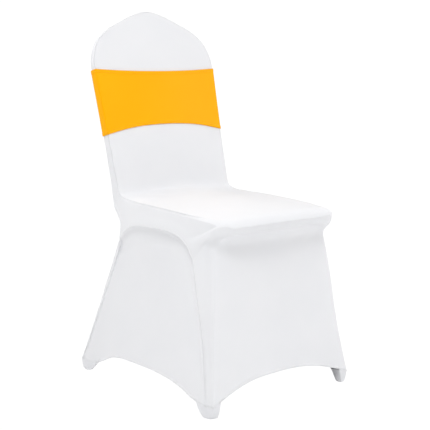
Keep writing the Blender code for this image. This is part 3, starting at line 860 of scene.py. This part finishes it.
def stitches(name, rails, rows, stitch, thread):
    """Rows of stitches along rails, one short round thread at each pitch, made by a node tree."""
    curve = bpy.data.curves.new(name, "CURVE")
    curve.dimensions = "3D"
    for points, closed in stitch_lines(rails, rows):
        spline = curve.splines.new("POLY")
        spline.points.add(len(points) - 1)
        spline.points.foreach_set("co", np.column_stack([points * MM, np.ones(len(points))]).ravel())
        spline.use_cyclic_u = closed
    holder = bpy.data.objects.new(name + "_path", curve)
    bpy.context.scene.collection.objects.link(holder)

    tree = bpy.data.node_groups.new(name, "GeometryNodeTree")
    tree.interface.new_socket("Path", in_out="INPUT", socket_type="NodeSocketGeometry")
    sockets = {
        label: tree.interface.new_socket(label, in_out="INPUT", socket_type=kind)
        for label, kind in (
            ("Pitch", "NodeSocketFloat"),
            ("Length", "NodeSocketFloat"),
            ("Radius", "NodeSocketFloat"),
            ("Thread", "NodeSocketMaterial"),
        )
    }
    tree.interface.new_socket("Stitches", in_out="OUTPUT", socket_type="NodeSocketGeometry")
    given = tree.nodes.new("NodeGroupInput")
    made = tree.nodes.new("NodeGroupOutput")
    resample = tree.nodes.new("GeometryNodeResampleCurve")
    resample.mode = "LENGTH"
    bead = tree.nodes.new("GeometryNodeMeshUVSphere")
    bead.inputs["Segments"].default_value = 6
    bead.inputs["Rings"].default_value = 4
    bead.inputs["Radius"].default_value = 1.0
    tangent = tree.nodes.new("GeometryNodeInputTangent")
    turn = tree.nodes.new("FunctionNodeAlignRotationToVector")
    turn.axis = "Z"
    size = tree.nodes.new("ShaderNodeCombineXYZ")
    half = tree.nodes.new("ShaderNodeMath")
    half.operation = "MULTIPLY"
    half.inputs[1].default_value = 0.5
    place = tree.nodes.new("GeometryNodeInstanceOnPoints")
    real = tree.nodes.new("GeometryNodeRealizeInstances")
    dress = tree.nodes.new("GeometryNodeSetMaterial")
    for output, socket in (
        (given.outputs["Path"], resample.inputs["Curve"]),
        (given.outputs["Pitch"], resample.inputs["Length"]),
        (given.outputs["Length"], half.inputs[0]),
        (given.outputs["Radius"], size.inputs["X"]),
        (given.outputs["Radius"], size.inputs["Y"]),
        (half.outputs[0], size.inputs["Z"]),
        (tangent.outputs[0], turn.inputs["Vector"]),
        (resample.outputs[0], place.inputs["Points"]),
        (bead.outputs["Mesh"], place.inputs["Instance"]),
        (turn.outputs["Rotation"], place.inputs["Rotation"]),
        (size.outputs[0], place.inputs["Scale"]),
        (place.outputs[0], real.inputs[0]),
        (real.outputs[0], dress.inputs["Geometry"]),
        (given.outputs["Thread"], dress.inputs["Material"]),
        (dress.outputs[0], made.inputs[0]),
    ):
        tree.links.new(output, socket)
    sewing = holder.modifiers.new("sewing", "NODES")
    sewing.node_group = tree
    for label, value in zip(("Pitch", "Length", "Radius"), stitch):
        sewing[sockets[label].identifier] = value * MM
    sewing[sockets["Thread"].identifier] = thread
    mesh = finished_mesh(holder)
    bpy.data.objects.remove(holder)
    mesh.shade_smooth()
    piece = bpy.data.objects.new(name, mesh)
    bpy.context.scene.collection.objects.link(piece)
    return piece


HEM_STITCH_ROWS = ((2.2, 0.6), (5.2, 0.55))  # how far across from the edge and over the cloth each row is
HEM_STITCH = (3.6, 2.5, 0.32)  # pitch, length, radius
SEAM_STITCH_ROWS = ((3.4, 0.05),)
SEAM_STITCH = (3.6, 2.5, 0.3)
stitch_thread = sewing_thread("white_polyester_thread", "#F1F1F0")
hem_stitches = stitches("hem_stitches", hem_rails, HEM_STITCH_ROWS, HEM_STITCH, stitch_thread)
sewn_rails = back_rails + leg_rails
seam_stitches = stitches("seam_stitches", sewn_rails, SEAM_STITCH_ROWS, SEAM_STITCH, stitch_thread)

edgings = (arch_lip, back_welt, leg_welt, pocket_welt, hem_fold, hem_stitches, seam_stitches)
for piece in (*panels.values(), *edgings):
    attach(piece, "root")

# ---------------------------------------------------------------------------------------------------------
# Foot pockets: four socks of the same knit, doubled, that hook under the chair's feet and hold the cover
# down. Each is sewn to the panels along the leg's outer side, and its free rim behind the leg is turned in
# and sewn.
# ---------------------------------------------------------------------------------------------------------
POCKET_LEVELS = (29.8, 22, 13, 5, 0)  # heights of a pocket's rings, top to floor
POCKET_STEPS = 8  # columns along each side of a pocket
POCKET_FLARE = 0.8  # power of how a pocket widens with height: 1 is straight, less is fuller
POCKET_TUCK = 5  # the corner is drawn in this far under the foot
POCKET_RIM_DROP = 4  # the free rim behind the leg is lower than the seam
POCKET_SUBDIVISIONS = 2
POCKET_GAP = 0.1  # between a pocket's rim and the panels
SEWN_WITHIN = 2.5  # its rim is sewn to the panels where it lies this near them, and free elsewhere
EDGE_REACH = 1  # the side's lower edge lies no farther in than this from the rear leg's seam
POCKET_NODES = "foot_pocket_{}_{}"


def edge_shift(edge, at, corner, follow):
    """How far a panel's lower edge lies from a pocket's own line at a place: to the side, and up."""
    along, off, up = edge
    return (np.interp(at, along, off) - corner) * follow, (np.interp(at, along, up) - POCKET_TOP) * follow


def pocket_ring(pocket, height, side_edge, face_edge):
    """A ring of a pocket: along the side, round the corner, along the face and back behind the leg.

    Its ends follow the panels' lower edges, which side_edge and face_edge give as places, offsets and
    heights.
    """
    facing, corner_x, corner_y, turn = pocket[1:5]
    side_top, side_floor, face_top, face_floor, in_top, in_floor = pocket[5:]
    share = (height / POCKET_TOP) ** POCKET_FLARE
    follow = share**2  # all the way at the top, and not at all on the floor
    tuck = POCKET_TUCK * (1 - share) ** 2
    corner = np.array([corner_x + tuck, corner_y + facing * tuck])
    side = np.array([corner[0], side_floor + (side_top - side_floor) * share])
    face = np.array([face_floor + (face_top - face_floor) * share, corner[1]])
    inner = np.array(in_floor) + (np.array(in_top) - np.array(in_floor)) * share
    start = corner + (0, facing * turn)
    end = corner + (turn, 0)
    centre = corner + (turn, facing * turn)
    side_off, side_rise = edge_shift(side_edge, side_top, corner_x, follow)
    face_off, face_rise = edge_shift(face_edge, face_top, corner_y, follow)
    plan = []
    for k in range(POCKET_STEPS):
        t = k / POCKET_STEPS
        off, rise = edge_shift(side_edge, side_top + (start[1] - side_top) * t, corner_x, follow)
        plan.append((*(side + (start - side) * t + (off, 0)), height + rise))
    for k in range(POCKET_STEPS):
        angle = pi / 2 * k / POCKET_STEPS
        plan.append((*(centre - turn * np.array([cos(angle), facing * sin(angle)])), height))
    for k in range(POCKET_STEPS):
        t = k / POCKET_STEPS
        off, rise = edge_shift(face_edge, end[0] + (face_top - end[0]) * t, corner_y, follow)
        plan.append((*(end + (face - end) * t + (0, off)), height + rise))
    for k in range(POCKET_STEPS):
        t = k / POCKET_STEPS
        ends = (1 - t) ** 2 * (face + (0, face_off)) + t**2 * (side + (side_off, 0))
        behind = ends + 2 * t * (1 - t) * inner
        rise = (1 - t) * face_rise + t * side_rise - POCKET_RIM_DROP * share * sin(pi * t)
        plan.append((*behind, height + rise))
    return np.array(plan)


POCKET_HEM = (
    (5.0, -0.3),
    (4.5, 0.3),
    (3.4, 0.45),
    (1.0, 0.45),
    (-0.1, 0.1),
    (-0.4, -0.5),
    (0.2, -1.4),
    (4.4, -1.5),
)
POCKET_STITCH_ROWS = ((1.2, 0.5), (3.6, 0.5))
POCKET_STITCH = (3.0, 2.0, 0.28)


def border_chains(quads):
    """The border of a surface of one piece, as chains of points."""
    return chains(edges_between(edge_owners(quads, np.zeros(len(quads), dtype=int)), -1, (0,)))


lower_points = shell[np.unique(np.array(hem_edges))]
lower_left = lower_points[lower_points[:, 0] < 0]
# The panels' lower edge along the side runs from foot to foot, and leaves out the hems in front and behind.
outermost = lower_left[lower_left[:, 0] < rear_leg[-1, 0] + EDGE_REACH]
between_legs = outermost[(outermost[:, 1] > front_leg[-1, 1]) & (outermost[:, 1] < rear_leg[-1, 1])]
side_edge = between_legs[np.argsort(between_legs[:, 1])][:, [1, 0, 2]].T
# Doubled and stretched round the foot, the knit is more matt, its wales lying level.
# Its colour is painted a shade greyer than the rest of the cover: painted shade on the feet.
shaded_pocket_knit = warp_knit(
    "white_warp_knit_doubled_painted_shade", "#E7E7EA", "#E2E3E6", wale_axis="Z", roughness=0.82, sheen=0.15, relief=0.06
)
for pocket in POCKETS:
    facing, corner_x, corner_y, turn = pocket[1:5]
    on_face = (abs(lower_left[:, 1] - corner_y) < turn) & (lower_left[:, 0] > corner_x + turn / 2)
    across_face = lower_left[on_face]
    face_edge = across_face[np.argsort(across_face[:, 0])].T
    rings = [pocket_ring(pocket, height, side_edge, face_edge) for height in POCKET_LEVELS]
    rings.append(np.repeat(rings[-1].mean(axis=0)[None], len(rings[-1]), axis=0))
    grid = np.array(rings)
    for side, mirror in (("left", 1), ("right", -1)):
        turned = (facing < 0) != (mirror < 0)
        faces = grid_faces(grid.shape[0], grid.shape[1], turned, closed=True)
        cage = welded([((grid * (mirror, 1, 1)).reshape(-1, 3), faces)])
        points, quads, _ = finer(*cage, POCKET_SUBDIVISIONS)
        normals = surface_normals(points, quads)
        name = POCKET_NODES.format(pocket[0], side)
        sock = cloth_piece("sock_" + name, points, quads, normals, CLOTH, POCKET_GAP)
        sock.data.materials.append(shaded_pocket_knit)
        free = distance_to(points, lower_points) > SEWN_WITHIN
        rails = rails_where(free, border_chains(quads), points, normals, quads)
        rim = strip_piece("rim_" + name, rails, POCKET_HEM, shaded_pocket_knit)
        sewing = stitches("stitches_" + name, rails, POCKET_STITCH_ROWS, POCKET_STITCH, stitch_thread)
        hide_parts(name)
        for piece in (sock, rim, sewing):
            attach(piece, "root")

# ---------------------------------------------------------------------------------------------------------
# Sash: a loop of amber stretch knit that grips the backrest. Its top and bottom edges are turned in once and
# sewn down with two rows of stitches.
# ---------------------------------------------------------------------------------------------------------
SASH_ROW = 10  # row of the panels that the sash covers, where its shape across is read
SASH_ROWS = 5  # rings of points from edge to edge
SASH_HALF = 194  # half the backrest's width there
SASH_WIDTH = 171  # at the corners of the backrest, from edge to edge
SASH_DIP = 8  # the top edge sags this far at the middle
SASH_RISE = 21  # the bottom edge draws up this far at the middle
SASH_CURVE = 2.5  # power of that rise
SASH_GAP = 1.3  # from the cover to the sash's outer face, which is its thickness away
SASH_CLOTH = 0.9
SASH_HEM = (
    (9.0, -0.3),
    (8.4, 0.35),
    (7.2, 0.6),
    (1.4, 0.6),
    (0.1, 0.3),
    (-0.4, -0.3),
    (0.2, -1.0),
    (8.8, -1.0),
)
SASH_STITCH_ROWS = ((2.0, 0.62), (6.8, 0.62))
SASH_STITCH = (3.4, 2.4, 0.32)

loops = np.concatenate([front[: len(CROWN)], rear[: len(CROWN), -2:0:-1]], axis=1)
height = (loops[:, :, 1] - BACK_FOOT[0]) * sin(RAKE) + (loops[:, :, 2] - BACK_FOOT[1]) * cos(RAKE)
sash_rings = []
for k in range(SASH_ROWS):
    share = k / (SASH_ROWS - 1)
    ring = []
    for j in range(loops.shape[1]):
        across = min(1.0, abs(loops[SASH_ROW, j, 0]) / SASH_HALF)
        top = -SASH_DIP * (1 - across**2)
        bottom = -SASH_WIDTH + SASH_RISE * (1 - across**SASH_CURVE)
        at = top + (bottom - top) * share
        ring.append([np.interp(-at, -height[:, j], loops[:, j, axis]) for axis in range(3)])
    sash_rings.append(ring)
sash_grid = np.array(sash_rings)
cage = welded([(sash_grid.reshape(-1, 3), grid_faces(SASH_ROWS, sash_grid.shape[1], closed=True))])
points, quads, _ = finer(*cage, SUBDIVISIONS)

cover_tree = BVHTree.FromPolygons(shell.tolist(), shell_quads.tolist())
normals = surface_normals(points, quads)
points = np.array([cover_tree.find_nearest(place)[0] for place in points])
points = points + normals * (SASH_GAP + SASH_CLOTH)
normals = surface_normals(points, quads)
# The same knit dyed amber. It is a little smoother, and its sheen takes the dye's colour.
sash_knit = warp_knit(
    "amber_warp_knit",
    "#FDB40E",
    "#FBAE06",
    wale_axis="X",
    roughness=0.6,
    sheen=0.2,
    relief=0.06,
    tint_colour="#FFB000",
)
sash = cloth_piece("sash_band", points, quads, normals, SASH_CLOTH, 0.0)
sash.data.materials.append(sash_knit)
sash_rails = [rail(points, normals, quads, chain) for chain in border_chains(quads)]
sash_hem = strip_piece("sash_hem", sash_rails, SASH_HEM, sash_knit)
sash_thread = sewing_thread("amber_polyester_thread", "#F5A60A")
sash_stitches = stitches("sash_stitches", sash_rails, SASH_STITCH_ROWS, SASH_STITCH, sash_thread)
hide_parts("sash")
for piece in (sash, sash_hem, sash_stitches):
    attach(piece, "root")
